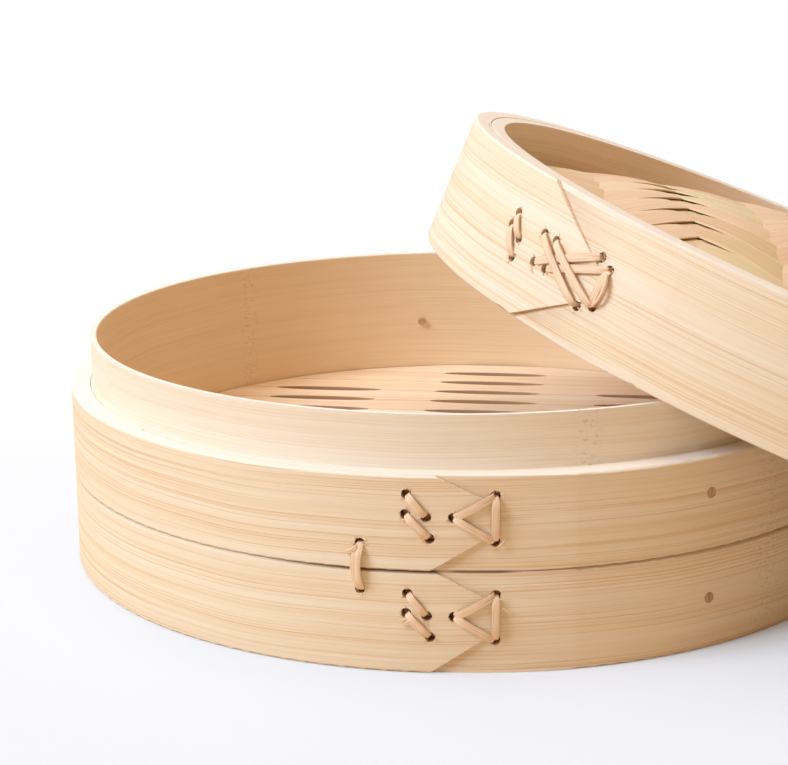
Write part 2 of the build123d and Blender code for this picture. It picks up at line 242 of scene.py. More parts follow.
@dataclass(frozen=True)
class Bamboo(Finish):
    """Bare split bamboo, planed and not coated: satin, with long fine fibres and paler culm nodes.

    Lengths are in mm. Fibre bundles of bamboo are 0.3 to 0.6 mm wide and run for centimetres.
    """

    pale: str = "#FCF3E1"
    mid: str = "#F5E6CA"
    streak: str = "#E0B478"
    fibre: str = "#C9985C"
    inside: str = ""
    edge: str = "#F8F4EE"
    # Colour of the painted shade inside the drilled holes and at the lap's stepped end
    hole: str = "#B5805A"
    # Colour of the painted shade on the sides of the steam slots
    slot_shade: str = "#BC8650"
    bruise: str = "#8F6A48"
    # Colour of the dirt and painted shade in the seam between stacked hoops
    seam_shade_and_dirt: str = "#7A4E28"
    radius: float = 127.0
    height: float = 30.0
    middle: float = 0.0
    seam: float = 160.0
    lap: Lap | None = None
    nodes_at: tuple[float, ...] = ()
    node_width: float = 5.0
    streak_width: float = 0.42
    streak_share: float = 0.54
    streak_strength: float = 0.58
    roughness: float = 0.52
    grain: Grain = Grain.ROUND
    turn: float = 0.0
    pitch: float = 0.0
    drilled: bool = False
    seam_side: int = 0
    seam_dark: tuple[float, float] = (0.0, 0.0)
    pegs_at: tuple[tuple[float, float], ...] = ()
    slat_tones: bool = False
    slot_span: tuple[float, float] | None = None

    def material(self, ring: Ring) -> bpy.types.Material:
        """Build the finish.

        Args:
            ring: The frame of reference that the fibres follow.

        Returns:
            The material.
        """
        made = self.empty()
        tree = made.node_tree
        at = self.coordinates(tree, ring)
        layers, relief = self.fibres(at)
        colour = self.lay(tree, linear(self.pale), layers)
        if self.slat_tones:
            own = add(tree, "ShaderNodeTexWhiteNoise", {"W": at.key}, noise_dimensions="1D").outputs["Value"]
            value = add(tree, RANGE, {0: own, 3: 0.92, 4: 1.05})
            colour = add(tree, "ShaderNodeHueSaturation", {"Value": value, "Color": colour}).outputs[0]
        worn_and_shaded = self.lay(tree, colour, self.wear_and_shade(at))
        rough = add(tree, RANGE, {0: relief, 3: self.roughness + 0.08, 4: self.roughness - 0.06})
        self.skin(tree, worn_and_shaded, rough, relief, 0.5, gloss=0.35)
        return made

    def coordinates(self, tree: bpy.types.NodeTree, ring: Ring) -> Spot:
        """Work out where a point lies on the bamboo.

        Args:
            tree: The material's tree.
            ring: The frame of reference that the fibres follow.

        Returns:
            The point's place.
        """
        place = add(tree, "ShaderNodeTexCoord").outputs["Object"]
        turned = add(
            tree,
            "ShaderNodeMapping",
            {"Vector": place, "Location": ring.centre, "Rotation": (0.0, ring.lean, math.radians(self.turn))},
            vector_type="TEXTURE",
        )
        scaled = add(tree, "ShaderNodeVectorMath", {0: turned, "Scale": 1 / MM}, operation="SCALE")
        x, y, z = add(tree, SPLIT, {0: scaled}).outputs
        if self.grain is Grain.ALONG:
            lane = add(tree, MATH, {0: y, 1: self.pitch}, operation="DIVIDE")
            return Spot(tree, x, y, z, add(tree, MATH, {0: lane}, operation="ROUND"))
        angle = add(tree, MATH, {0: y, 1: x}, operation="ARCTAN2")
        start = self.lap.azimuth if self.lap else self.seam
        offset = add(tree, MATH, {0: angle, 1: math.radians(start)}, operation="SUBTRACT")
        wrapped = add(tree, MATH, {0: offset, 1: math.pi, 2: -math.pi}, operation="WRAP")
        arc = add(tree, MATH, {0: wrapped, 1: self.radius}, operation="MULTIPLY")
        squares = [add(tree, MATH, {0: v, 1: 2.0}, operation="POWER") for v in (x, y)]
        total = add(tree, MATH, dict(enumerate(squares)))
        out = add(tree, MATH, {0: total}, operation="SQRT")
        over = self.over_end(tree, arc, z)
        far = add(tree, MATH, {0: over, 1: 2 * math.pi * self.radius, 2: arc}, operation="MULTIPLY_ADD")
        return Spot(tree, far, z, out, over)

    def over_end(self, tree: bpy.types.NodeTree, arc: Any, z: Any) -> Any:
        """Tell the hoop's two ends apart.

        Args:
            tree: The material's tree.
            arc: Socket with the mm round the hoop from its seam or its lap's datum.
            z: Socket with the height in mm.

        Returns:
            Socket that is 1 on the hoop's far end and 0 on its near end.
        """
        if not self.lap:
            return add(tree, MATH, {0: arc, 1: 0.0}, operation="LESS_THAN")
        lap, half = self.lap, self.height / 2
        rise = (half - lap.tip_high) / (lap.tip - lap.root_high)
        fall = (half + lap.tip_low) / (lap.tip - lap.root_low)
        level = add(tree, MATH, {0: z, 1: self.middle}, operation="SUBTRACT")
        top = add(tree, MATH, {0: arc, 1: -rise, 2: lap.tip_high + rise * lap.tip}, operation="MULTIPLY_ADD")
        foot = add(tree, MATH, {0: arc, 1: fall, 2: lap.tip_low - fall * lap.tip}, operation="MULTIPLY_ADD")
        under_top = add(tree, MATH, {0: level, 1: top}, operation="LESS_THAN")
        over_foot = add(tree, MATH, {0: level, 1: foot}, operation="GREATER_THAN")
        before_tip = add(tree, MATH, {0: arc, 1: lap.tip}, operation="LESS_THAN")
        both = add(tree, MATH, {0: under_top, 1: over_foot}, operation="MULTIPLY")
        return add(tree, MATH, {0: both, 1: before_tip}, operation="MULTIPLY")

    def fibres(self, at: Spot) -> tuple[list[Layer], Any]:
        """Draw the fibres.

        Args:
            at: The point's place.

        Returns:
            The colours over the pale one, and the socket with the relief.
        """
        tree = at.tree
        slow = add(tree, MATH, {0: at.along, 1: 1 / 70}, operation="MULTIPLY")
        wander_at = add(tree, JOIN, {0: slow, 1: at.key})
        wander = add(tree, NOISE, {"Vector": wander_at, "Scale": 1.0, "Detail": 1.0})
        bent = add(tree, MATH, {0: wander, 1: 3.0, 2: at.across}, operation="MULTIPLY_ADD")
        lined = add(tree, MATH, {0: at.key, 1: 7.3, 2: bent}, operation="MULTIPLY_ADD")

        # Noise drawn out along the fibres: mm along, mm across, shift and detail
        noises = []
        for run, width, shift, detail in (
            (260.0, 6.0, 3.1, 2.0),
            (170.0, 1.5, 7.9, 2.0),
            (150.0, self.streak_width, 11.7, 1.0),
            (30.0, 0.22, 5.3, 3.0),
        ):
            parts = [
                add(tree, MATH, {0: socket, 1: 1 / scale, 2: shift}, operation="MULTIPLY_ADD")
                for socket, scale in ((at.along, run), (at.depth, 2.5), (lined, width))
            ]
            look = {"Vector": add(tree, JOIN, dict(enumerate(parts))), "Scale": 1.0, "Detail": detail}
            noises.append(add(tree, NOISE, {**look, "Roughness": 0.55}))
        broad, bands, lines, fine = noises

        low = self.streak_share
        mask = add(tree, RANGE, {0: lines, 1: low, 2: low + 0.16, 4: self.streak_strength})
        layers = [(add(tree, RANGE, {0: broad, 1: 0.3, 2: 0.7}), self.mid)]
        if self.inside:
            inward = add(tree, RANGE, {0: at.depth, 1: self.radius - 1.2, 2: self.radius - 2.2, 4: 0.85})
            layers.append((inward, self.inside))
        layers += [
            (add(tree, RANGE, {0: bands, 1: 0.42, 2: 0.74, 4: 0.26}), self.streak),
            (mask, self.streak),
            (add(tree, RANGE, {0: fine, 1: 0.52, 2: 0.78, 4: 0.16}), self.fibre),
        ]
        return layers, add(tree, MATH, {0: fine, 1: mask}, operation="SUBTRACT")

    def wear_and_shade(self, at: Spot) -> list[Layer]:
        """Gather what work and use left on the bamboo, and the painted shade in its holes, slots and seams.

        Args:
            at: The point's place.

        Returns:
            The colours, in the order in which they lie.
        """
        layers = []
        if self.grain is Grain.ROUND:
            layers.append(self.cut_edges(at))
        if self.drilled:
            layers.append(self.hole_shade(at))
        layers += [self.peg_ring(at, *peg) for peg in self.pegs_at]
        if self.slot_span:
            layers.append(self.shaded_slot_sides(at))
        if self.seam_side:
            layers.append(self.dark_seam(at))
        for place in self.nodes_at:
            layers += self.culm_node(at, place)
        return layers

    def level(self, at: Spot) -> bpy.types.Node:
        """Height over the hoop's middle, in mm."""
        return add(at.tree, MATH, {0: at.across, 1: self.middle}, operation="SUBTRACT")

    def cut_edges(self, at: Spot) -> Layer:
        """The saw-cut upper and lower faces of a hoop, which are cooler and paler, but not along a seam.

        Args:
            at: The point's place.

        Returns:
            The edges' share and colour.
        """
        off = add(at.tree, MATH, {0: self.level(at)}, operation="ABSOLUTE")
        if self.seam_side:
            off = add(at.tree, MATH, {0: self.level(at), 1: -self.seam_side}, operation="MULTIPLY")
        half = self.height / 2
        return add(at.tree, RANGE, {0: off, 1: half - 0.75, 2: half - 0.15, 4: 0.85}), self.edge

    def hole_shade(self, at: Spot) -> Layer:
        """Painted shade inside the drilled holes and on the lap's stepped end, darker further into the wall.

        Args:
            at: The point's place.

        Returns:
            The holes' share and colour.
        """
        off = add(at.tree, MATH, {0: self.level(at)}, operation="ABSOLUTE")
        within = add(at.tree, MATH, {0: off, 1: self.height / 2 - 1.6}, operation="LESS_THAN")
        deep = add(at.tree, RANGE, {0: at.depth, 1: self.radius - 0.7, 2: self.radius - 3.0, 4: 0.85})
        inmost = add(at.tree, RANGE, {0: at.depth, 1: self.radius - 4.9, 2: self.radius - 4.3})
        inner = add(at.tree, MATH, {0: deep, 1: inmost}, operation="MULTIPLY")
        return add(at.tree, MATH, {0: within, 1: inner}, operation="MULTIPLY"), self.hole

    def shaded_slot_sides(self, at: Spot) -> Layer:
        """Painted shade on the cut sides of the steam slots, between the upper and lower face of the slats.

        Args:
            at: The point's place.

        Returns:
            The sides' share and colour.
        """
        low, high = self.slot_span
        under = add(at.tree, RANGE, {0: at.depth, 1: high, 2: high - 0.4, 4: 0.62})
        above = add(at.tree, RANGE, {0: at.depth, 1: low, 2: low + 0.3})
        return add(at.tree, MATH, {0: under, 1: above}, operation="MULTIPLY"), self.slot_shade

    def peg_ring(self, at: Spot, place: float, height: float) -> Layer:
        """The bruised rim round a peg that was driven in.

        Args:
            at: The point's place.
            place: The peg's mm along the fibres.
            height: Its height.

        Returns:
            The rim's share and colour.
        """
        offsets = [
            add(at.tree, MATH, {0: socket, 1: centre}, operation="SUBTRACT")
            for socket, centre in ((at.along, place), (at.across, height))
        ]
        flat = add(at.tree, JOIN, dict(enumerate(offsets)))
        away = add(at.tree, "ShaderNodeVectorMath", {0: flat}, operation="LENGTH").outputs["Value"]
        return add(at.tree, RANGE, {0: away, 1: 1.72, 2: 1.5, 4: 0.7}), self.bruise

    def dark_seam(self, at: Spot) -> Layer:
        """Dirt and painted shade in the seam between two stacked hoops, most where they stand apart near the
        lap.

        Args:
            at: The point's place.

        Returns:
            The seam's share and colour.
        """
        towards = add(at.tree, MATH, {0: self.level(at), 1: self.seam_side}, operation="MULTIPLY")
        open_share = 0.24
        for start, end in ((0.0, self.seam_dark[1]), (2 * math.pi * self.radius, self.seam_dark[0])):
            near = add(at.tree, MATH, {0: at.along, 1: start}, operation="SUBTRACT")
            gap = add(at.tree, MATH, {0: near}, operation="ABSOLUTE")
            fall = {0: gap, 1: end, 2: 0.4 * end, 4: 0.6}
            part = add(at.tree, RANGE, fall, interpolation_type="SMOOTHSTEP")
            open_share = add(at.tree, MATH, {0: part, 1: open_share})
        half = self.height / 2
        edge = add(at.tree, RANGE, {0: towards, 1: half - 0.65, 2: half - 0.2})
        return add(at.tree, MATH, {0: edge, 1: open_share}, operation="MULTIPLY"), self.seam_shade_and_dirt

    def culm_node(self, at: Spot, place: float) -> list[Layer]:
        """A ragged band of short dark and pale dashes, where a joint of the culm was planed off.

        Args:
            at: The point's place.
            place: The band's mm along the fibres.

        Returns:
            The pale and the dark dashes.
        """
        tree = at.tree
        slow = add(tree, MATH, {0: at.along, 1: 0.6}, operation="MULTIPLY")
        ragged_at = add(tree, JOIN, {0: slow, 1: at.across})
        ragged = add(tree, NOISE, {"Vector": ragged_at, "Scale": 0.55, "Detail": 3.0, "Roughness": 0.7})
        off = add(tree, MATH, {0: at.along, 1: place}, operation="SUBTRACT")
        shift = add(tree, MATH, {0: ragged, 1: 9.0, 2: -4.5}, operation="MULTIPLY_ADD")
        moved = add(tree, MATH, {0: off, 1: shift})
        gap = add(tree, MATH, {0: moved}, operation="ABSOLUTE")
        band = add(tree, RANGE, {0: gap, 1: self.node_width, 2: 0.4 * self.node_width})
        specks = add(tree, NOISE, {"Vector": ragged_at, "Scale": 1.1, "Detail": 2.0, "Roughness": 0.6})
        layers = []
        for code, start, end in ((self.edge, 0.46, 0.34), (self.fibre, 0.54, 0.7)):
            dash = add(tree, RANGE, {0: specks, 1: start, 2: end, 4: 0.4})
            layers.append((add(tree, MATH, {0: dash, 1: band}, operation="MULTIPLY"), code))
        return layers


def dress(node: str, material: bpy.types.Material) -> None:
    """Give a CAD node one material on every slot and log it.

    Args:
        node: The CAD node.
        material: Its finish.
    """
    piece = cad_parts[node]
    for slot in piece.material_slots:
        slot.material = material
    log.info("dressed %s with %s", node, material.name)


@dataclass
class Tier:
    """The hoops, pegs and floor of the tier."""

    ring: Ring
    radius: float = 127.0
    wall: float = 5.8
    lap: Lap = Lap(-90.0, 5.5, 5.0, -1.5, -12.5, -14.6)
    node_azimuth: float = -48.3
    far_nodes: tuple[float, float] = (560.0, 610.0)
    inner_nodes: tuple[float, float] = (550.4, 224.0)
    seam_dark: tuple[float, float] = (75.0, 12.0)
    floor_turn: float = -9.0
    slat_pitch: float = 13.8
    joint_azimuth: float = 24.0
    peg_azimuths: tuple[float, ...] = (-59.0, 18.5, 96.0, 168.0)
    peg_heights: tuple[float, float] = (46.2, 15.2)

    def hoop_finish(self, node: str, **changes: Any) -> bpy.types.Material:
        """Make the finish of one hoop, with its radius and height read from the frame.

        Args:
            node: The hoop's CAD node.
            changes: Fields of the finish that differ from plain bamboo's.

        Returns:
            The material.
        """
        low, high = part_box(node)
        sizes = {
            "radius": (high.y - low.y) / 2 / MM,
            "height": (high.z - low.z) / MM,
            "middle": (high.z + low.z) / 2 / MM,
        }
        return Bamboo(name=node + "_bamboo", **sizes, **changes).material(self.ring)

    def node_place(self, azimuth: float, radius: float) -> float:
        """Where a culm node lies along a hoop's fibres, in mm from the lap's near end."""
        return math.radians((azimuth - self.lap.azimuth) % 360) * radius

    def dress_hoops(self) -> None:
        """Finish the two outer hoops, the inner hoop and the ledger."""
        band = self.node_place(self.node_azimuth, self.radius)
        pegs = [self.node_place(azimuth, self.radius) for azimuth in self.peg_azimuths]
        hoops = zip(("upper_outer_hoop", "lower_outer_hoop"), self.peg_heights, self.far_nodes, (-1, 1))
        for node, height, far_node, seam_side in hoops:
            finish = self.hoop_finish(
                node, lap=self.lap, nodes_at=(band, far_node), node_width=8.0, drilled=True,
                seam_side=seam_side, seam_dark=self.seam_dark, pegs_at=tuple((peg, height) for peg in pegs),
            )
            dress(node, finish)
        inner = self.hoop_finish(
            "inner_hoop", pale="#FDF6E8", mid="#FAF0DE", streak="#ECD3AE", inside="#FFE5BF",
            streak_strength=0.36, nodes_at=self.inner_nodes, seam=self.joint_azimuth,
        )
        dress("inner_hoop", inner)
        dress("ledger_hoop", self.hoop_finish("ledger_hoop", pale="#E9C897", mid="#E2BC88"))

    def dress_floor(self) -> None:
        """Finish the slats and the battens."""
        planks = [node for node in sorted(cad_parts) if node.startswith("floor_slat")]
        low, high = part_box(planks[0])
        slats = Bamboo(
            name="planed_slat_bamboo", pale="#FDEBD4", mid="#F8DDBE", streak="#E2B98A", grain=Grain.ALONG,
            turn=self.floor_turn, pitch=self.slat_pitch, streak_width=0.6, streak_strength=0.4,
            slat_tones=True, slot_span=(low.z / MM, high.z / MM),
        ).material(self.ring)
        battens = Bamboo(
            name="batten_bamboo", pale="#E8C89A", mid="#DDB785", streak="#C99863", grain=Grain.ALONG,
            turn=self.floor_turn + 90, pitch=self.slat_pitch, streak_width=0.9,
        ).material(self.ring)
        for node in planks:
            dress(node, slats)
        for node in sorted(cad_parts):
            if node.startswith("cross_batten"):
                dress(node, battens)

    def dress_pegs(self) -> None:
        """Finish the pegs, whose cut ends are darker than the hoops."""
        peg = Bamboo(
            name="peg_bamboo", pale="#D9BC98", mid="#C29D74", streak="#8E6A48", grain=Grain.ALONG, pitch=3.0,
            streak_width=0.4,
        ).material(self.ring)
        for node in ("upper_hoop_pegs", "lower_hoop_pegs", "lid_lower_pegs", "lid_upper_pegs"):
            dress(node, peg)

    def build(self) -> None:
        """Finish every rigid piece of the tier."""
        self.dress_hoops()
        self.dress_floor()
        self.dress_pegs()


@dataclass
class Lid:
    """The hoops of the lid."""

    ring: Ring
    lap: Lap = Lap(-140.0, 17.0, 2.5, -4.0, -14.2, -10.9)
    radius: float = 129.5
    bore: float = 124.2
    height: float = 41.0
    inner_radius: float = 124.5

    def build(self) -> None:
        """Finish the lid's three hoops."""
        outer = Bamboo(
            name="lid_outer_bamboo", pale="#FDF4E4", mid="#F8E8CC", streak="#E6C290", radius=self.radius,
            height=self.height, middle=self.height / 2, lap=self.lap, drilled=True,
        )
        dress("lid_outer_hoop", outer.material(self.ring))
        inner = Bamboo(
            name="lid_inner_bamboo", pale="#F6EADB", mid="#EFDFCB", streak="#D8BC9C",
            radius=self.inner_radius, height=self.height, middle=self.height / 2, streak_strength=0.35,
            seam=60.0,
        )
        material = inner.material(self.ring)
        dress("lid_upper_inner_hoop", material)
        dress("lid_lower_inner_hoop", material)


# A course's strips are numbered from its own tag, and the numbers past the split are the falling course's.
RISING_TAG, TAG_SPLIT, FALLING_TAG = 1.0, 100.0, 150.0


@dataclass(frozen=True)
class WovenStrip(Finish):
    """Split bamboo strips for weaving: thin, satin, tan on one course and greenish on the other."""

    courses: tuple[str, str] = ("#E8CBA9", "#DDCA9C")
    deep: str = "#B98F5E"
    light: str = "#F3DCB4"
    half_width: float = 5.6

    def material(self) -> bpy.types.Material:
        """Build the finish, which reads the strips' own weave attribute: mm along, mm across, strip number.

        Returns:
            The material.
        """
        made = self.empty()
        tree = made.node_tree
        woven = add(tree, "ShaderNodeAttribute", attribute_name="weave", attribute_type="GEOMETRY")
        place = woven.outputs["Vector"]
        along, across, number = add(tree, SPLIT, {0: place}).outputs
        course = add(tree, MATH, {0: number, 1: TAG_SPLIT}, operation="GREATER_THAN")
        stretched = add(tree, MATH, {0: along, 1: 1 / 55}, operation="MULTIPLY")
        slow_at = add(tree, JOIN, {0: stretched, 1: number})
        slow = add(tree, NOISE, {"Vector": slow_at, "Scale": 1.0, "Detail": 1.0})
        patch = add(tree, RANGE, {0: slow, 1: 0.36, 2: 0.56})
        green = add(tree, MATH, {0: course, 1: patch}, operation="MULTIPLY")
        base = self.lay(tree, linear(self.courses[0]), [(green, self.courses[1])])
        own = add(tree, "ShaderNodeTexWhiteNoise", {"W": number}, noise_dimensions="1D").outputs["Value"]
        shifts = {"Hue": (0.485, 0.51), "Saturation": (1.1, 0.85), "Value": (0.93, 1.04)}
        moods = {name: add(tree, RANGE, {0: own, 3: low, 4: high}) for name, (low, high) in shifts.items()}
        tinted = add(tree, "ShaderNodeHueSaturation", {**moods, "Color": base}).outputs[0]
        scale = add(tree, JOIN, {0: 1 / 38, 1: 1 / 0.5, 2: 3.7})
        grain_at = add(tree, "ShaderNodeVectorMath", {0: place, 1: scale}, operation="MULTIPLY")
        grain = add(tree, NOISE, {"Vector": grain_at, "Scale": 1.0, "Detail": 3.0, "Roughness": 0.6})
        dark = add(tree, RANGE, {0: grain, 1: 0.5, 2: 0.74, 4: 0.55})
        off = add(tree, MATH, {0: across}, operation="ABSOLUTE")
        edge = add(tree, RANGE, {0: off, 1: self.half_width - 0.7, 2: self.half_width - 0.15, 4: 0.7})
        colour = self.lay(tree, tinted, [(dark, self.deep), (edge, self.light)])
        self.skin(tree, colour, 0.55, grain, 0.45)
        return made


class Course(Enum):
    """The two courses of a weave, by the way their strips run in plan."""

    RISING = 1.0
    FALLING = -1.0


# The rule of the weave: what each sum gives, its operation and what goes in. A "ramp" maps a range.
# First the strip's place in its lane, then where it passes over three of the other course and under
# three, then the flat rim, the bulge and the strip's own bow, and last its place in plan.
WEAVE_RULE = (
    ("middle", "MULTIPLY_ADD", "Strips", -0.5, 0.5),
    ("lane", "ADD", "number", "middle"),
    ("strip width", "MULTIPLY", "Pitch", "Share"),
    ("width", "MULTIPLY", "side", "strip width"),
    ("across", "MULTIPLY_ADD", "lane", "Pitch", "width"),
    ("reach square", "MULTIPLY", "Reach", "Reach"),
    ("across square", "MULTIPLY", "across", "across"),
    ("room", "SUBTRACT", "reach square", "across square"),
    ("open room", "MAXIMUM", "room", 0.01),
    ("half", "SQRT", "open room"),
    ("way", "MULTIPLY", "length", 2.0),
    ("along", "MULTIPLY", "way", "half"),
    ("lanes along", "DIVIDE", "along", "Pitch"),
    ("crossing", "ADD", "lane", "lanes along"),
    ("step", "ADD", "crossing", "Phase"),
    ("turn", "MULTIPLY", "step", math.pi / 3),
    ("sine", "SINE", "turn"),
    ("wave", "MULTIPLY", "sine", "sign"),
    ("upper half", "MAXIMUM", "wave", 0.0),
    ("crown", "POWER", "upper half", "crown power"),
    ("mirrored", "MULTIPLY", "wave", -1.0),
    ("lower half", "MAXIMUM", "mirrored", 0.0),
    ("dip", "POWER", "lower half", "dip power"),
    ("high", "MULTIPLY", "crown", "Over"),
    ("low", "MULTIPLY", "dip", "Under"),
    ("weave", "SUBTRACT", "high", "low"),
    ("along square", "MULTIPLY", "along", "along"),
    ("radius square", "ADD", "along square", "across square"),
    ("radius", "SQRT", "radius square"),
    ("rim", "ramp", "radius", "bulge radius", "rim start"),
    ("wave side", "SIGN", "wave"),
    ("flat", "MULTIPLY", "rim step", "wave side"),
    ("spread", "SUBTRACT", "weave", "flat"),
    ("sheet", "MULTIPLY_ADD", "rim", "spread", "flat"),
    ("radius share", "DIVIDE", "radius", "bulge radius"),
    ("inside", "MINIMUM", "radius share", 1.0),
    ("powered", "POWER", "inside", "power"),
    ("fall", "SUBTRACT", 1.0, "powered"),
    ("side square", "MULTIPLY", "side", "side"),
    ("crossfall", "MULTIPLY", "side square", "bow"),
    ("bowed", "MULTIPLY", "crossfall", "crown"),
    ("bulge", "MULTIPLY_ADD", "fall", "rise", "Foot"),
    ("woven", "ADD", "bulge", "sheet"),
    ("arched", "ADD", "woven", "bowed"),
    ("diagonal", "ADD", "along", "across"),
    ("down", "MULTIPLY", "diagonal", "slope"),
    ("skewed", "MULTIPLY_ADD", "down", "fall", "arched"),
    ("height", "MULTIPLY_ADD", "face", "Thickness", "skewed"),
    ("other diagonal", "SUBTRACT", "along", "across"),
    ("x", "MULTIPLY", "diagonal", "root"),
    ("y", "MULTIPLY", "other diagonal", "signed root"),
    ("tag", "ADD", "number", "first tag"),
)


@dataclass
class WovenDome:
    """Two woven sheets, bulging up inside the lid, each of two courses of strips in a three-by-three twill.

    Lengths are in mm in the lid's own frame: x down the lean, z along its axis. The crowns and dips of a
    strip are the blunter, the smaller `crown_power` and `dip_power` are. At the rim the courses lie
    `rim_step` off the middle. In a crown a strip falls off by `bow` times the square of its share across.
    """

    ring: Ring
    reach: float = 123.6
    bulge_radius: float = 119.0
    rim_width: float = 9.0
    outer_foot: float = 25.42
    lining_foot: float = 24.2
    lining_over: float = 0.5
    lining_phase: float = 9.0
    rise: float = 23.2
    skew: float = 4.6
    power: float = 2.0
    pitch: float = 11.8
    share: float = 0.93
    strips: int = 21
    thickness: float = 0.5
    over: float = 1.35
    under: float = 0.35
    phase: float = 10.07
    crown_power: float = 0.62
    dip_power: float = 0.35
    rim_step: float = 0.28
    bow: float = 1.4

    def course(self, tree: bpy.types.NodeTree, given: bpy.types.Node, course: Course, lengthwise: int) -> Any:
        """Add the nodes of one course of strips.

        Args:
            tree: The geometry tree.
            given: Its group input.
            course: Which course.
            lengthwise: Cuts along each strip.

        Returns:
            The socket with the strips.
        """
        line = add(
            tree, "GeometryNodeMeshLine", {"Count": given.outputs["Strips"], "Offset": (0.0, 0.0, 0.0)}
        )
        bar = add(
            tree, "GeometryNodeMeshCube",
            {"Size": (1.0, 1.0, 1.0), "Vertices X": lengthwise, "Vertices Y": 5, "Vertices Z": 2},
        )
        placed = add(tree, "GeometryNodeInstanceOnPoints", {"Points": line, "Instance": bar})
        numbered = add(
            tree, "GeometryNodeStoreNamedAttribute",
            {"Geometry": placed, "Name": "strip", "Value": add(tree, "GeometryNodeInputIndex")},
            data_type="FLOAT", domain="INSTANCE",
        )
        real = add(tree, "GeometryNodeRealizeInstances", {0: numbered})
        at = self.work_out(tree, given, course)
        own_place = add(tree, JOIN, {0: at["along"], 1: at["width"], 2: at["tag"]})
        tagged = add(
            tree, "GeometryNodeStoreNamedAttribute", {"Geometry": real, "Name": "weave", "Value": own_place},
            data_type="FLOAT_VECTOR", domain="POINT",
        )
        position = add(tree, JOIN, {0: at["x"], 1: at["y"], 2: at["height"]})
        return add(tree, "GeometryNodeSetPosition", {"Geometry": tagged, "Position": position}).outputs[0]

    def work_out(self, tree: bpy.types.NodeTree, given: bpy.types.Node, course: Course) -> dict[str, Any]:
        """Add the sums of the weave's rule for one course.

        Args:
            tree: The geometry tree.
            given: Its group input.
            course: Which course.

        Returns:
            What each sum gives, by name.
        """
        root, sign = math.sqrt(0.5), course.value
        local = add(tree, SPLIT, {0: add(tree, "GeometryNodeInputPosition")}).outputs
        at = {socket.name: socket for socket in given.outputs if socket.name}
        at.update(zip(("length", "side", "face"), local))
        at.update({
            "number": add(tree, "GeometryNodeInputNamedAttribute", {"Name": "strip"}, data_type="FLOAT"),
            "sign": sign, "root": root, "signed root": root * sign,
            "first tag": FALLING_TAG if course is Course.FALLING else RISING_TAG,
            "bulge radius": self.bulge_radius, "rim start": self.bulge_radius - self.rim_width,
            "power": self.power, "rise": self.rise, "slope": root * self.skew / self.bulge_radius,
            "crown power": self.crown_power, "dip power": self.dip_power, "rim step": self.rim_step,
            "bow": -self.bow,
        })
        for name, operation, *terms in WEAVE_RULE:
            inputs = {slot: at.get(term, term) for slot, term in enumerate(terms)}
            if operation == "ramp":
                at[name] = add(tree, RANGE, inputs)
            else:
                at[name] = add(tree, MATH, inputs, operation=operation)
        return at

    def sheet(self, name: str, foot: float, lengthwise: int, **changes: float) -> bpy.types.Object:
        """Weave one sheet.

        Args:
            name: Name of the piece.
            foot: Height of the sheet's middle where it is held between the hoops.
            lengthwise: Cuts along each strip.
            changes: Inputs of the weave that differ from the outer sheet's.

        Returns:
            The sheet as a plain mesh object in the row's frame.
        """
        material = WovenStrip(name=name + "_bamboo", half_width=self.pitch * self.share / 2).material()
        tree = bpy.data.node_groups.new(name + "_weave", "GeometryNodeTree")
        values = {
            "Pitch": self.pitch, "Reach": self.reach, "Share": self.share, "Thickness": self.thickness,
            "Over": self.over, "Under": self.under, "Phase": self.phase, "Foot": foot,
        }
        values.update({key.title(): value for key, value in changes.items()})
        tree.interface.new_socket(name="Strips", in_out="INPUT", socket_type="NodeSocketInt")
        for key in values:
            tree.interface.new_socket(name=key, in_out="INPUT", socket_type="NodeSocketFloat")
        tree.interface.new_socket(name="Geometry", in_out="OUTPUT", socket_type="NodeSocketGeometry")
        given = add(tree, "NodeGroupInput")
        joined = add(tree, "GeometryNodeJoinGeometry")
        for course in Course:
            tree.links.new(self.course(tree, given, course, lengthwise), joined.inputs[0])
        real = add(tree, "GeometryNodeRealizeInstances", {0: joined})
        finished = add(tree, "GeometryNodeSetMaterial", {"Geometry": real, "Material": material})
        add(tree, "NodeGroupOutput", {0: finished})

        carrier = bpy.data.objects.new(name + "_carrier", bpy.data.meshes.new(name + "_carrier"))
        bpy.context.scene.collection.objects.link(carrier)
        modifier = carrier.modifiers.new("weave", "NODES")
        modifier.node_group = tree
        for socket in tree.interface.items_tree:
            if socket.in_out == "INPUT":
                whole = socket.name == "Strips"
                modifier[socket.identifier] = self.strips if whole else float(values[socket.name])
        evaluated = carrier.evaluated_get(bpy.context.evaluated_depsgraph_get())
        mesh = bpy.data.meshes.new_from_object(evaluated)
        bpy.data.objects.remove(carrier)
        mesh.name = name
        mesh.transform(self.ring.matrix @ Matrix.Scale(MM, 4))
        mesh.shade_smooth()
        mesh.set_sharp_from_angle(angle=math.radians(40))
        sheet = bpy.data.objects.new(name, mesh)
        bpy.context.scene.collection.objects.link(sheet)
        return sheet

    def build(self) -> None:
        """Weave the outer sheet and the lining."""
        outer = self.sheet("woven_dome", self.outer_foot, 150)
        lining = self.sheet(
            "woven_lining", self.lining_foot, 110, over=self.lining_over, phase=self.lining_phase
        )
        for piece, node in ((outer, "dome_outer_weave"), (lining, "dome_lining")):
            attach(piece, "lid")
            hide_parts(node)
            log.info("wove %s", piece.name)


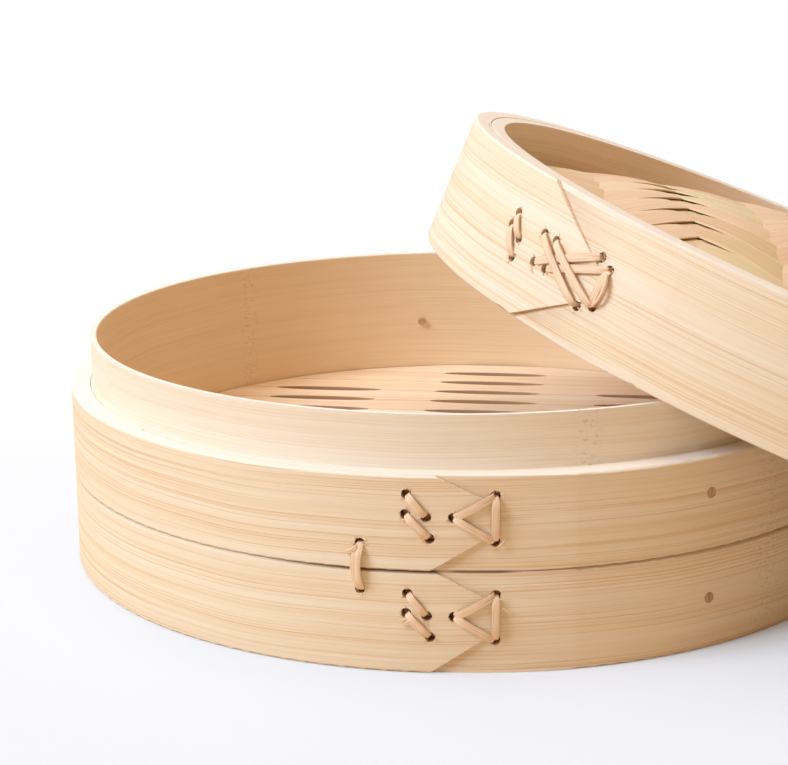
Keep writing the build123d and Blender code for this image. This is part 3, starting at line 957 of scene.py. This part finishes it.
@dataclass(frozen=True)
class LacingStrip(Finish):
    """Bamboo split thin for lacing while damp: pinkish tan, matt and fibrous."""

    skin_tone: str = "#FAE2C6"
    grain: str = "#CFA078"
    edge: str = "#B88A60"

    def material(self) -> bpy.types.Material:
        """Build the finish, which reads the strips' own UV map: mm along and across.

        Returns:
            The material.
        """
        made = self.empty()
        tree = made.node_tree
        place = add(tree, "ShaderNodeUVMap", uv_map="strip")
        stretched = add(tree, "ShaderNodeVectorMath", {0: place, 1: (0.11, 3.4, 1.0)}, operation="MULTIPLY")
        fine = add(tree, NOISE, {"Vector": stretched, "Scale": 1.0, "Detail": 4.0, "Roughness": 0.6})
        lines = add(tree, RANGE, {0: fine, 1: 0.47, 2: 0.68, 4: 0.75})
        off = add(tree, MATH, {0: add(tree, SPLIT, {0: place}).outputs["Y"]}, operation="ABSOLUTE")
        side = add(tree, RANGE, {0: off, 1: 0.95, 2: 1.25, 4: 0.7})
        colour = self.lay(tree, linear(self.skin_tone), [(lines, self.grain), (side, self.edge)])
        self.skin(tree, colour, 0.6, fine, 0.6, depth=0.1)
        return made


@dataclass(frozen=True)
class Wall:
    """The wall of a laced hoop. Places are mm to the right of a datum, up from mid height and out of it."""

    ring: Ring
    outside: float
    bore: float
    azimuth: float
    middle: float

    def place(self, along: float, up: float, out: float) -> Vector:
        """A point near the wall in the row's frame."""
        azimuth = self.azimuth + math.degrees(along / self.outside)
        return self.ring.place((self.outside + out) * MM, azimuth, (self.middle + up) * MM)

    def outward(self, along: float) -> Vector:
        """The direction out of the wall."""
        return (self.place(along, 0, 1) - self.place(along, 0, 0)).normalized()


@dataclass
class Ribbons:
    """Flat strips drawn along routes on a wall, gathered in one mesh with a UV map in mm."""

    name: str
    material: bpy.types.Material
    vertices: list[Vector] = field(default_factory=list)
    faces: list[tuple[int, ...]] = field(default_factory=list)
    places: list[tuple[float, float]] = field(default_factory=list)

    # Half of a strip's section: share of the half width, share of the thickness
    SECTION = ((0.0, 1.0), (0.7, 0.97), (0.93, 0.84), (1.0, 0.45), (0.94, 0.0), (0.4, 0.0))

    # Moves each strip's place in the UV map on, so that no two have the same grain
    SHIFT = 31.0

    # How much of its width a loose fibre loses, and its thickness as a share of its width
    LOSS = 0.75
    SLENDER = 0.6

    def ribbon(self, wall: Wall, route: Route, widths: Sequence[float], thickness: float) -> None:
        """Draw one strip.

        Args:
            wall: The wall that the route lies on.
            route: Places along, up and out of the strip's underside.
            widths: The strip's width at each place, in mm.
            thickness: In mm.
        """
        half = list(self.SECTION)
        section = half + [(-side, high) for side, high in reversed(half[1:])]
        points = [wall.place(*stop) for stop in route]
        first = len(self.vertices)
        run = 0.0
        for number, (stop, width) in enumerate(zip(route, widths)):
            ahead = points[min(number + 1, len(points) - 1)] - points[max(number - 1, 0)]
            if number:
                run += (points[number] - points[number - 1]).length / MM
            forward = ahead.normalized()
            side = forward.cross(wall.outward(stop[0])).normalized()
            up = side.cross(forward)
            for share, high in section:
                sideways = share * width / 2
                self.vertices.append(points[number] + MM * (sideways * side + high * thickness * up))
                self.places.append((run + self.SHIFT * first, sideways))
        count = len(section)
        for ring in range(len(points) - 1):
            for step in range(count):
                near = first + ring * count + step
                beside = first + ring * count + (step + 1) % count
                self.faces.append((near, beside, beside + count, near + count))
        self.faces.append(tuple(first + step for step in reversed(range(count))))
        last = first + (len(points) - 1) * count
        self.faces.append(tuple(last + step for step in range(count)))

    def fibre(self, wall: Wall, route: Route, width: float) -> None:
        """Draw one thin loose fibre that tapers to its end.

        Args:
            wall: The wall that the route lies on.
            route: Places along, up and out.
            width: Its width at its root, in mm.
        """
        last = len(route) - 1
        widths = [width * (1 - self.LOSS * step / last) for step in range(last + 1)]
        self.ribbon(wall, route, widths, width * self.SLENDER)

    def finish(self, nodes: Iterable[str], body: str) -> bpy.types.Object:
        """Make the piece and let it stand for its CAD nodes.

        Args:
            nodes: The CAD nodes.
            body: The body that it rides on.

        Returns:
            The piece.
        """
        mesh = bpy.data.meshes.new(self.name)
        mesh.from_pydata(self.vertices, [], self.faces)
        layer = mesh.uv_layers.new(name="strip")
        for loop in mesh.loops:
            layer.data[loop.index].uv = self.places[loop.vertex_index]
        mesh.materials.append(self.material)
        mesh.shade_smooth()
        mesh.set_sharp_from_angle(angle=math.radians(50))
        piece = bpy.data.objects.new(self.name, mesh)
        bpy.context.scene.collection.objects.link(piece)
        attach(piece, body)
        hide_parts(*nodes)
        log.info("laced %s", self.name)
        return piece


@dataclass
class Lacing:
    """A strip laced through holes in a wall. A run is the letters of the two holes that it joins.

    Lengths are in mm. A run dives into its holes at `hold` from their centres, straightens out over `bend`,
    sinks by `sink` at its ends and is narrowed there to the share `narrow`, over the length `taper`. A run
    behind the wall goes on by `past` beyond its holes and lies `clear` further out than its inset. Loose
    fibres start `fray_start` from a hole's centre, `fray_foot` off the wall, and rise `fray_rise` a step.
    """

    holes: dict[str, tuple[float, float]]
    front: tuple[str, ...]
    back: tuple[str, ...]
    over: tuple[str, ...] = ()
    width: float = 2.5
    thickness: float = 0.7
    lift: float = 0.8
    arch: float = 0.45
    hold: float = 0.85
    gap: float = 0.05
    bend: float = 0.25
    sink: float = 0.35
    taper: float = 1.3
    narrow: float = 0.72
    past: float = 1.3
    fold_step: float = 0.02
    fold_power: float = 1.5
    clear: float = 0.02
    fray_start: float = 1.35
    fray_width: float = 0.26
    fray_long: tuple[float, float] = (0.5, 1.3)
    fray_bend: float = 0.5
    fray_foot: float = -0.05
    fray_rise: float = 0.12
    fray_steps: int = 3
    folds: int = 4
    steps: int = 16
    stops: int = 8

    def run(
        self, start: tuple[float, float], end: tuple[float, float],
        level: float, arch: float, dive: float, hold: float,
    ) -> tuple[list[tuple[float, float, float]], list[float]]:
        """Lay one run between two holes.

        Args:
            start: Place of the hole that the strip comes out of.
            end: Place of the hole that it goes into.
            level: Height of its underside above the wall's outside, in mm.
            arch: How much higher it stands in the middle.
            dive: How far into the wall its ends go.
            hold: How far from a hole's centre, towards the run, the strip goes in.

        Returns:
            The route and the width at each place.
        """
        long = math.dist(start, end)
        unit = ((end[0] - start[0]) / long, (end[1] - start[1]) / long)
        fold = []
        for step in range(self.folds):
            fold.append((self.fold_step * step, level - dive * (1 - step / self.folds) ** self.fold_power))
        stations = [(hold + way, out) for way, out in fold]
        for step in range(self.steps + 1):
            share = step / self.steps
            rise = 1 - (2 * share - 1) ** 4
            way = hold + self.bend + share * (long - 2 * (hold + self.bend))
            stations.append((way, level - self.sink + (self.sink + arch) * rise))
        stations += [(long - hold - way, out) for way, out in reversed(fold)]
        route = [(start[0] + unit[0] * way, start[1] + unit[1] * way, out) for way, out in stations]
        widths = []
        for way, _ in stations:
            near = max(min(way - hold, long - hold - way), 0.0)
            full = min(near / self.taper, 1.0) ** 0.7
            widths.append(self.width * (self.narrow + (1 - self.narrow) * full))
        return route, widths

    def draw(self, ribbons: Ribbons, wall: Wall, inset: float) -> None:
        """Draw every run, in front and behind.

        Args:
            ribbons: Where they are drawn.
            wall: The wall that they lace.
            inset: How far the runs behind lie outside the wall's bore.
        """
        behind = wall.bore - wall.outside + inset + self.clear
        through = (wall.outside - wall.bore) / 2
        for pairs, lift in ((self.front, 0.0), (self.over, self.lift)):
            for pair in pairs:
                start, end = (self.holes[letter] for letter in pair)
                route, widths = self.run(start, end, self.gap + lift, self.arch, through + lift, self.hold)
                ribbons.ribbon(wall, route, widths, self.thickness)
        for pair in self.back:
            (along, up), (far, top) = (self.holes[letter] for letter in pair)
            past = self.past / math.dist((along, up), (far, top))
            shares = [-past + (1 + 2 * past) * step / self.stops for step in range(self.stops + 1)]
            route = [(along + (far - along) * part, up + (top - up) * part, behind) for part in shares]
            ribbons.ribbon(wall, route, [self.width] * len(route), self.thickness)

    def fray(self, ribbons: Ribbons, wall: Wall, seed: int, count: int = 7) -> None:
        """Draw short pale fibres that stand out round the drilled holes.

        Args:
            ribbons: Where they are drawn.
            wall: The wall that is laced.
            seed: Seed of their places.
            count: How many stand round one hole.
        """
        chance = random.Random(seed)
        for along, up in self.holes.values():
            for _ in range(count):
                angle = chance.uniform(0, 2 * math.pi)
                long = chance.uniform(*self.fray_long)
                bend = chance.uniform(-self.fray_bend, self.fray_bend)
                route = []
                for step in range(self.fray_steps + 1):
                    way = self.fray_start + long * step / self.fray_steps
                    swung = angle + bend * step / self.fray_steps
                    right, high = way * math.cos(swung), way * math.sin(swung)
                    route.append((along + right, up + high, self.fray_foot + self.fray_rise * step))
                ribbons.fibre(wall, route, self.fray_width)


@dataclass
class Joinery:
    """Everything laced or tied with split strips, on the tier and on the lid."""

    tier: Tier
    lid: Lid
    stitch: Lacing = field(default_factory=lambda: Lacing(
        {"a": (-20.2, 8.5), "b": (-14.9, 2.1), "c": (-20.6, 2.8), "d": (-14.0, -4.0)},
        ("ab", "cd"), ("ac", "bd"),
    ))
    triangle: Lacing = field(default_factory=lambda: Lacing(
        {"a": (-7.4, 2.0), "b": (4.2, 8.0), "c": (4.0, -5.0)}, ("ab", "bc", "ca"), ("ab", "ca")
    ))
    lid_stitch: Lacing = field(default_factory=lambda: Lacing(
        {"a": (-24.1, 6.5), "b": (-19.3, 0.0), "c": (-25.2, 2.6), "d": (-19.0, -5.7)},
        ("ab", "cd"), ("ac", "bd"),
    ))
    lid_cross: Lacing = field(default_factory=lambda: Lacing(
        {
            "a": (-9.6, 5.3), "b": (-4.1, 5.2), "c": (-9.4, -3.4), "d": (-4.0, -3.4),
            "e": (13.0, 7.3), "f": (17.2, 5.0), "g": (11.5, -8.3), "h": (16.7, -6.3),
        },
        ("ce", "df", "fh"), ("ac", "bd", "gh", "ef"), ("ag", "bh"),
    ))
    loose_ends: dict[str, tuple] = field(default_factory=lambda: {
        "lower_hoop_stitches": (
            (((-18.6, 1.4, 0.3), (-20.0, 0.5, 0.7), (-21.8, -0.4, 0.5)), 0.9),
            (((-18.9, 1.6, 0.3), (-20.4, 1.3, 0.6), (-22.4, 0.9, 0.3)), 0.5),
        ),
        "lower_triangle_lacing": (
            (((5.2, 4.8, 0.2), (6.8, 4.3, 0.7), (7.9, 2.9, 0.9), (8.0, 1.0, 0.7), (7.0, -0.7, 0.2)), 0.35),
        ),
        "upper_triangle_lacing": (
            (((5.3, 1.6, 0.3), (6.0, 1.0, 0.5), (6.4, 0.2, 0.3)), 0.35),
            (((5.0, -6.2, 0.1), (5.9, -5.3, 0.4), (6.6, -4.1, 0.3)), 0.6),
        ),
        "lid_cross_lacing": (
            (
                ((17.6, 3.6, 0.2), (18.7, 1.6, 0.9), (19.3, -0.9, 1.2), (18.9, -3.6, 1.0), (17.4, -5.9, 0.1)),
                1.5,
            ),
            (((-9.0, -5.4, 0.1), (-8.4, -5.9, 0.4), (-7.6, -6.1, 0.2)), 0.8),
        ),
    })
    tier_inset: float = 1.25
    lid_inset: float = 0.7
    tie_azimuths: tuple[float, ...] = (-105.1, 14.9, 134.9)
    tie_above: float = 7.6
    tie_below: float = 5.7
    tie_dive: float = 2.9
    tie_hold: float = 0.4
    tie_seed: int = 17
    # Of each strand: where it starts, how far it bows aside, its arch and its width
    tie_strands: tuple[tuple[float, ...], ...] = ((-0.2, -1.5, 0.9, 1.6), (0.6, -0.8, 1.5, 1.7))
    tie_tail: Route = ((-0.6, 6.6, 0.6), (-2.2, 5.9, 0.9), (-4.2, 5.1, 0.7))
    tie_tail_width: float = 1.4

    def walls(self) -> tuple[Wall, Wall, Wall]:
        """Find the walls that are laced.

        Returns:
            The lower, upper and lid walls.
        """
        tier, lid = self.tier, self.lid
        found = []
        for node in ("lower_outer_hoop", "upper_outer_hoop"):
            low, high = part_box(node)
            outside = (high.y - low.y) / 2 / MM
            middle = (low.z + high.z) / 2 / MM
            found.append(Wall(tier.ring, outside, outside - tier.wall, tier.lap.azimuth, middle))
        return found[0], found[1], Wall(lid.ring, lid.radius, lid.bore, lid.lap.azimuth, lid.height / 2)

    def build(self) -> None:
        """Draw all the lacing and ties."""
        lower, upper, lid = self.walls()
        jobs = (
            ("lower_hoop_stitches", self.stitch, lower),
            ("upper_hoop_stitches", self.stitch, upper),
            ("lower_triangle_lacing", self.triangle, lower),
            ("upper_triangle_lacing", self.triangle, upper),
            ("lid_stitches", self.lid_stitch, lid),
            ("lid_cross_lacing", self.lid_cross, lid),
        )
        material = LacingStrip("laced_bamboo_strip").material()
        for seed, (node, lacing, wall) in enumerate(jobs):
            body, inset = ("lid", self.lid_inset) if wall is lid else ("basket", self.tier_inset)
            ribbons = Ribbons(node + "_strips", material)
            lacing.draw(ribbons, wall, inset)
            lacing.fray(ribbons, wall, seed)
            for route, width in self.loose_ends.get(node, ()):
                ribbons.fibre(wall, route, width)
            ribbons.finish([node], body)
        front, *rear = self.tie_azimuths
        for name, azimuths in (("front_tie_lash", [front]), ("rear_tie_lashes", rear)):
            ribbons = Ribbons(name + "_strips", material)
            for azimuth in azimuths:
                self.tie(ribbons, lower, azimuth)
            ribbons.finish([name], "basket")

    def tie(self, ribbons: Ribbons, lower: Wall, azimuth: float) -> None:
        """Draw one lash that holds the two outer hoops together.

        Args:
            ribbons: Where it is drawn.
            lower: The wall of the lower hoop.
            azimuth: Where it stands, in degrees.
        """
        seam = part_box("lower_outer_hoop")[1].z / MM
        wall = Wall(self.tier.ring, lower.outside, lower.bore, azimuth, seam)
        lash = Lacing({"a": (0.0, self.tie_above), "b": (0.0, -self.tie_below)}, (), ("ab",))
        lash.draw(ribbons, wall, self.tier_inset)
        lash.fray(ribbons, wall, self.tie_seed)
        ribbons.fibre(wall, self.tie_tail, self.tie_tail_width)
        for start, aside, arch, width in self.tie_strands:
            strand = Lacing({}, (), (), width=width)
            ends = (start, self.tie_above), (start, -self.tie_below)
            route, widths = strand.run(*ends, strand.gap, arch, self.tie_dive, self.tie_hold)
            bowed = []
            for along, up, out in route:
                share = (up + self.tie_below) / (self.tie_above + self.tie_below)
                bowed.append((along + aside * math.sin(math.pi * share), up, out))
            ribbons.ribbon(wall, bowed, widths, strand.thickness)


@dataclass(frozen=True)
class Paper(Finish):
    """Seamless studio paper: matt and pale, without texture, white where the camera sees it far off.

    The camera sees a plain lift over the matt paper. It fades out near the tier, whose shade shows there.
    """

    name: str = "studio_paper"
    near: str = "#F2F8FE"
    far: str = "#FFFFFF"
    body: str = "#EAF0FC"
    bounce: str = "#E4D2BA"
    shade_at: tuple[float, float, float] = (0.016, 0.014, 0.0)
    shade_reach: tuple[float, float] = (0.118, 0.15)
    fade: tuple[float, float] = (-0.1, 0.16)
    least_lift: float = 0.5

    def material(self) -> bpy.types.Material:
        """Build the paper, which fades to white with distance and keeps its shadow.

        Returns:
            The material.
        """
        made = self.empty()
        tree = made.node_tree
        place = add(tree, "ShaderNodeTexCoord").outputs["Object"]
        y = add(tree, SPLIT, {0: place}).outputs["Y"]
        fade = add(tree, RANGE, {0: y, 1: self.fade[0], 2: self.fade[1]}, interpolation_type="SMOOTHSTEP")
        tone = self.lay(tree, linear(self.near), [(fade, self.far)])
        plain = add(tree, "ShaderNodeEmission", {"Color": tone, "Strength": 1.0})
        seen = add(tree, "ShaderNodeLightPath").outputs["Is Camera Ray"]
        body = self.lay(tree, linear(self.bounce), [(seen, self.body)])
        matt = add(tree, "ShaderNodeBsdfDiffuse", {"Color": body})
        rest = 1 - self.least_lift
        share = add(tree, MATH, {0: fade, 1: rest, 2: self.least_lift}, operation="MULTIPLY_ADD")
        off = add(tree, "ShaderNodeVectorMath", {0: place, 1: self.shade_at}, operation="DISTANCE")
        clear = add(tree, RANGE, {0: off.outputs["Value"], 1: self.shade_reach[0], 2: self.shade_reach[1]})
        lit = add(tree, MATH, {0: share, 1: clear}, operation="MULTIPLY")
        lift = add(tree, MATH, {0: seen, 1: lit}, operation="MULTIPLY")
        mixed = add(tree, "ShaderNodeMixShader", {0: lift, 1: matt, 2: plain})
        add(tree, "ShaderNodeOutputMaterial", {"Surface": mixed})
        return made


@dataclass(frozen=True)
class Lamp:
    """One square soft lamp that faces a target. Lengths in metres, power in watts."""

    name: str
    place: tuple[float, float, float]
    target: tuple[float, float, float]
    side: float
    watts: float
    colour: str

    def hang(self) -> None:
        """Hang the lamp."""
        data = bpy.data.lights.new(self.name, "AREA")
        data.shape = "SQUARE"
        data.size = self.side
        data.energy = self.watts
        data.color = linear(self.colour)[:3]
        lamp = bpy.data.objects.new(self.name, data)
        aim = (Vector(self.target) - Vector(self.place)).to_track_quat("-Z", "Y").to_matrix().to_4x4()
        lamp.matrix_world = Matrix.Translation(Vector(self.place)) @ aim
        bpy.context.scene.collection.objects.link(lamp)


@dataclass
class Studio:
    """A pale floor, a white surround, soft lamps and the camera."""

    eye: Vector = field(default_factory=lambda: Vector((-23.09, -700.82, 227.02)) * MM)
    down: float = 14.04
    roll: float = -0.66
    lens: float = 100.95
    sensor: float = 36.0
    floor_half: float = 3.0
    surround_tint: str = "#FFCC96"
    surround_strength: float = 0.37
    lamps: tuple[Lamp, ...] = (
        Lamp("key", (-1.85, -0.85, 1.75), (0, 0, 0.05), 1.1, 55.0, "#E0EFFF"),
        Lamp("top", (0.15, 0.1, 2.2), (0, 0, 0.05), 1.6, 18.0, "#FFEEDC"),
        Lamp("back", (-0.9, 1.5, 1.9), (0.05, 0, 0.05), 1.5, 9.0, "#FFF6EA"),
    )

    def camera(self) -> None:
        """Place the camera and make it the scene's."""
        data = bpy.data.cameras.new("camera")
        data.lens = self.lens
        data.sensor_width = self.sensor
        data.clip_start = 0.01
        seat = bpy.data.objects.new("camera", data)
        tilt = Matrix.Rotation(math.radians(90 - self.down), 4, "X")
        turn = Matrix.Rotation(math.radians(self.roll), 4, "Z")
        seat.matrix_world = Matrix.Translation(self.eye) @ tilt @ turn
        bpy.context.scene.collection.objects.link(seat)
        bpy.context.scene.camera = seat

    def floor(self) -> None:
        """Lay the floor."""
        half = self.floor_half
        mesh = bpy.data.meshes.new("studio_floor")
        corners = [(-half, -half, 0), (half, -half, 0), (half, half, 0), (-half, half, 0)]
        mesh.from_pydata(corners, [], [(0, 1, 2, 3)])
        floor = bpy.data.objects.new("studio_floor", mesh)
        mesh.materials.append(Paper().material())
        bpy.context.scene.collection.objects.link(floor)

    def surround(self) -> None:
        """White for the camera and for gloss, and a softer white as light."""
        world = bpy.data.worlds.new("surround")
        world.use_nodes = True
        bpy.context.scene.world = world
        tree = world.node_tree
        tree.nodes.clear()
        path = add(tree, "ShaderNodeLightPath").outputs
        seen = add(tree, MATH, {0: path["Is Camera Ray"], 1: path["Is Glossy Ray"]}, operation="MAXIMUM")
        strength = add(tree, RANGE, {0: seen, 3: self.surround_strength, 4: 1.0})
        tones = {0: seen, 6: linear(self.surround_tint), 7: linear("#FFFFFF")}
        tint = add(tree, MIX, tones, data_type="RGBA").outputs[2]
        light = add(tree, "ShaderNodeBackground", {"Color": tint, "Strength": strength})
        add(tree, "ShaderNodeOutputWorld", {"Surface": light})

    def build(self) -> None:
        """Set up everything around the object."""
        self.camera()
        self.floor()
        self.surround()
        for lamp in self.lamps:
            lamp.hang()
        bpy.context.scene.view_settings.view_transform = "Standard"


def main() -> None:
    """Build the studio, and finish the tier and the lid."""
    logging.basicConfig(level=logging.INFO, format="%(name)s: %(message)s")
    Studio().build()
    lid_ring = leaning_ring("lid_lower_inner_hoop", LID_HOOP_RISE)
    log.info("the lid leans %.2f degrees about %s", math.degrees(lid_ring.lean), lid_ring.centre)
    tier, lid = Tier(Ring(Vector((0, 0, 0)))), Lid(lid_ring)
    tier.build()
    lid.build()
    WovenDome(lid_ring).build()
    Joinery(tier, lid).build()


if __name__ == "__main__":
    main()
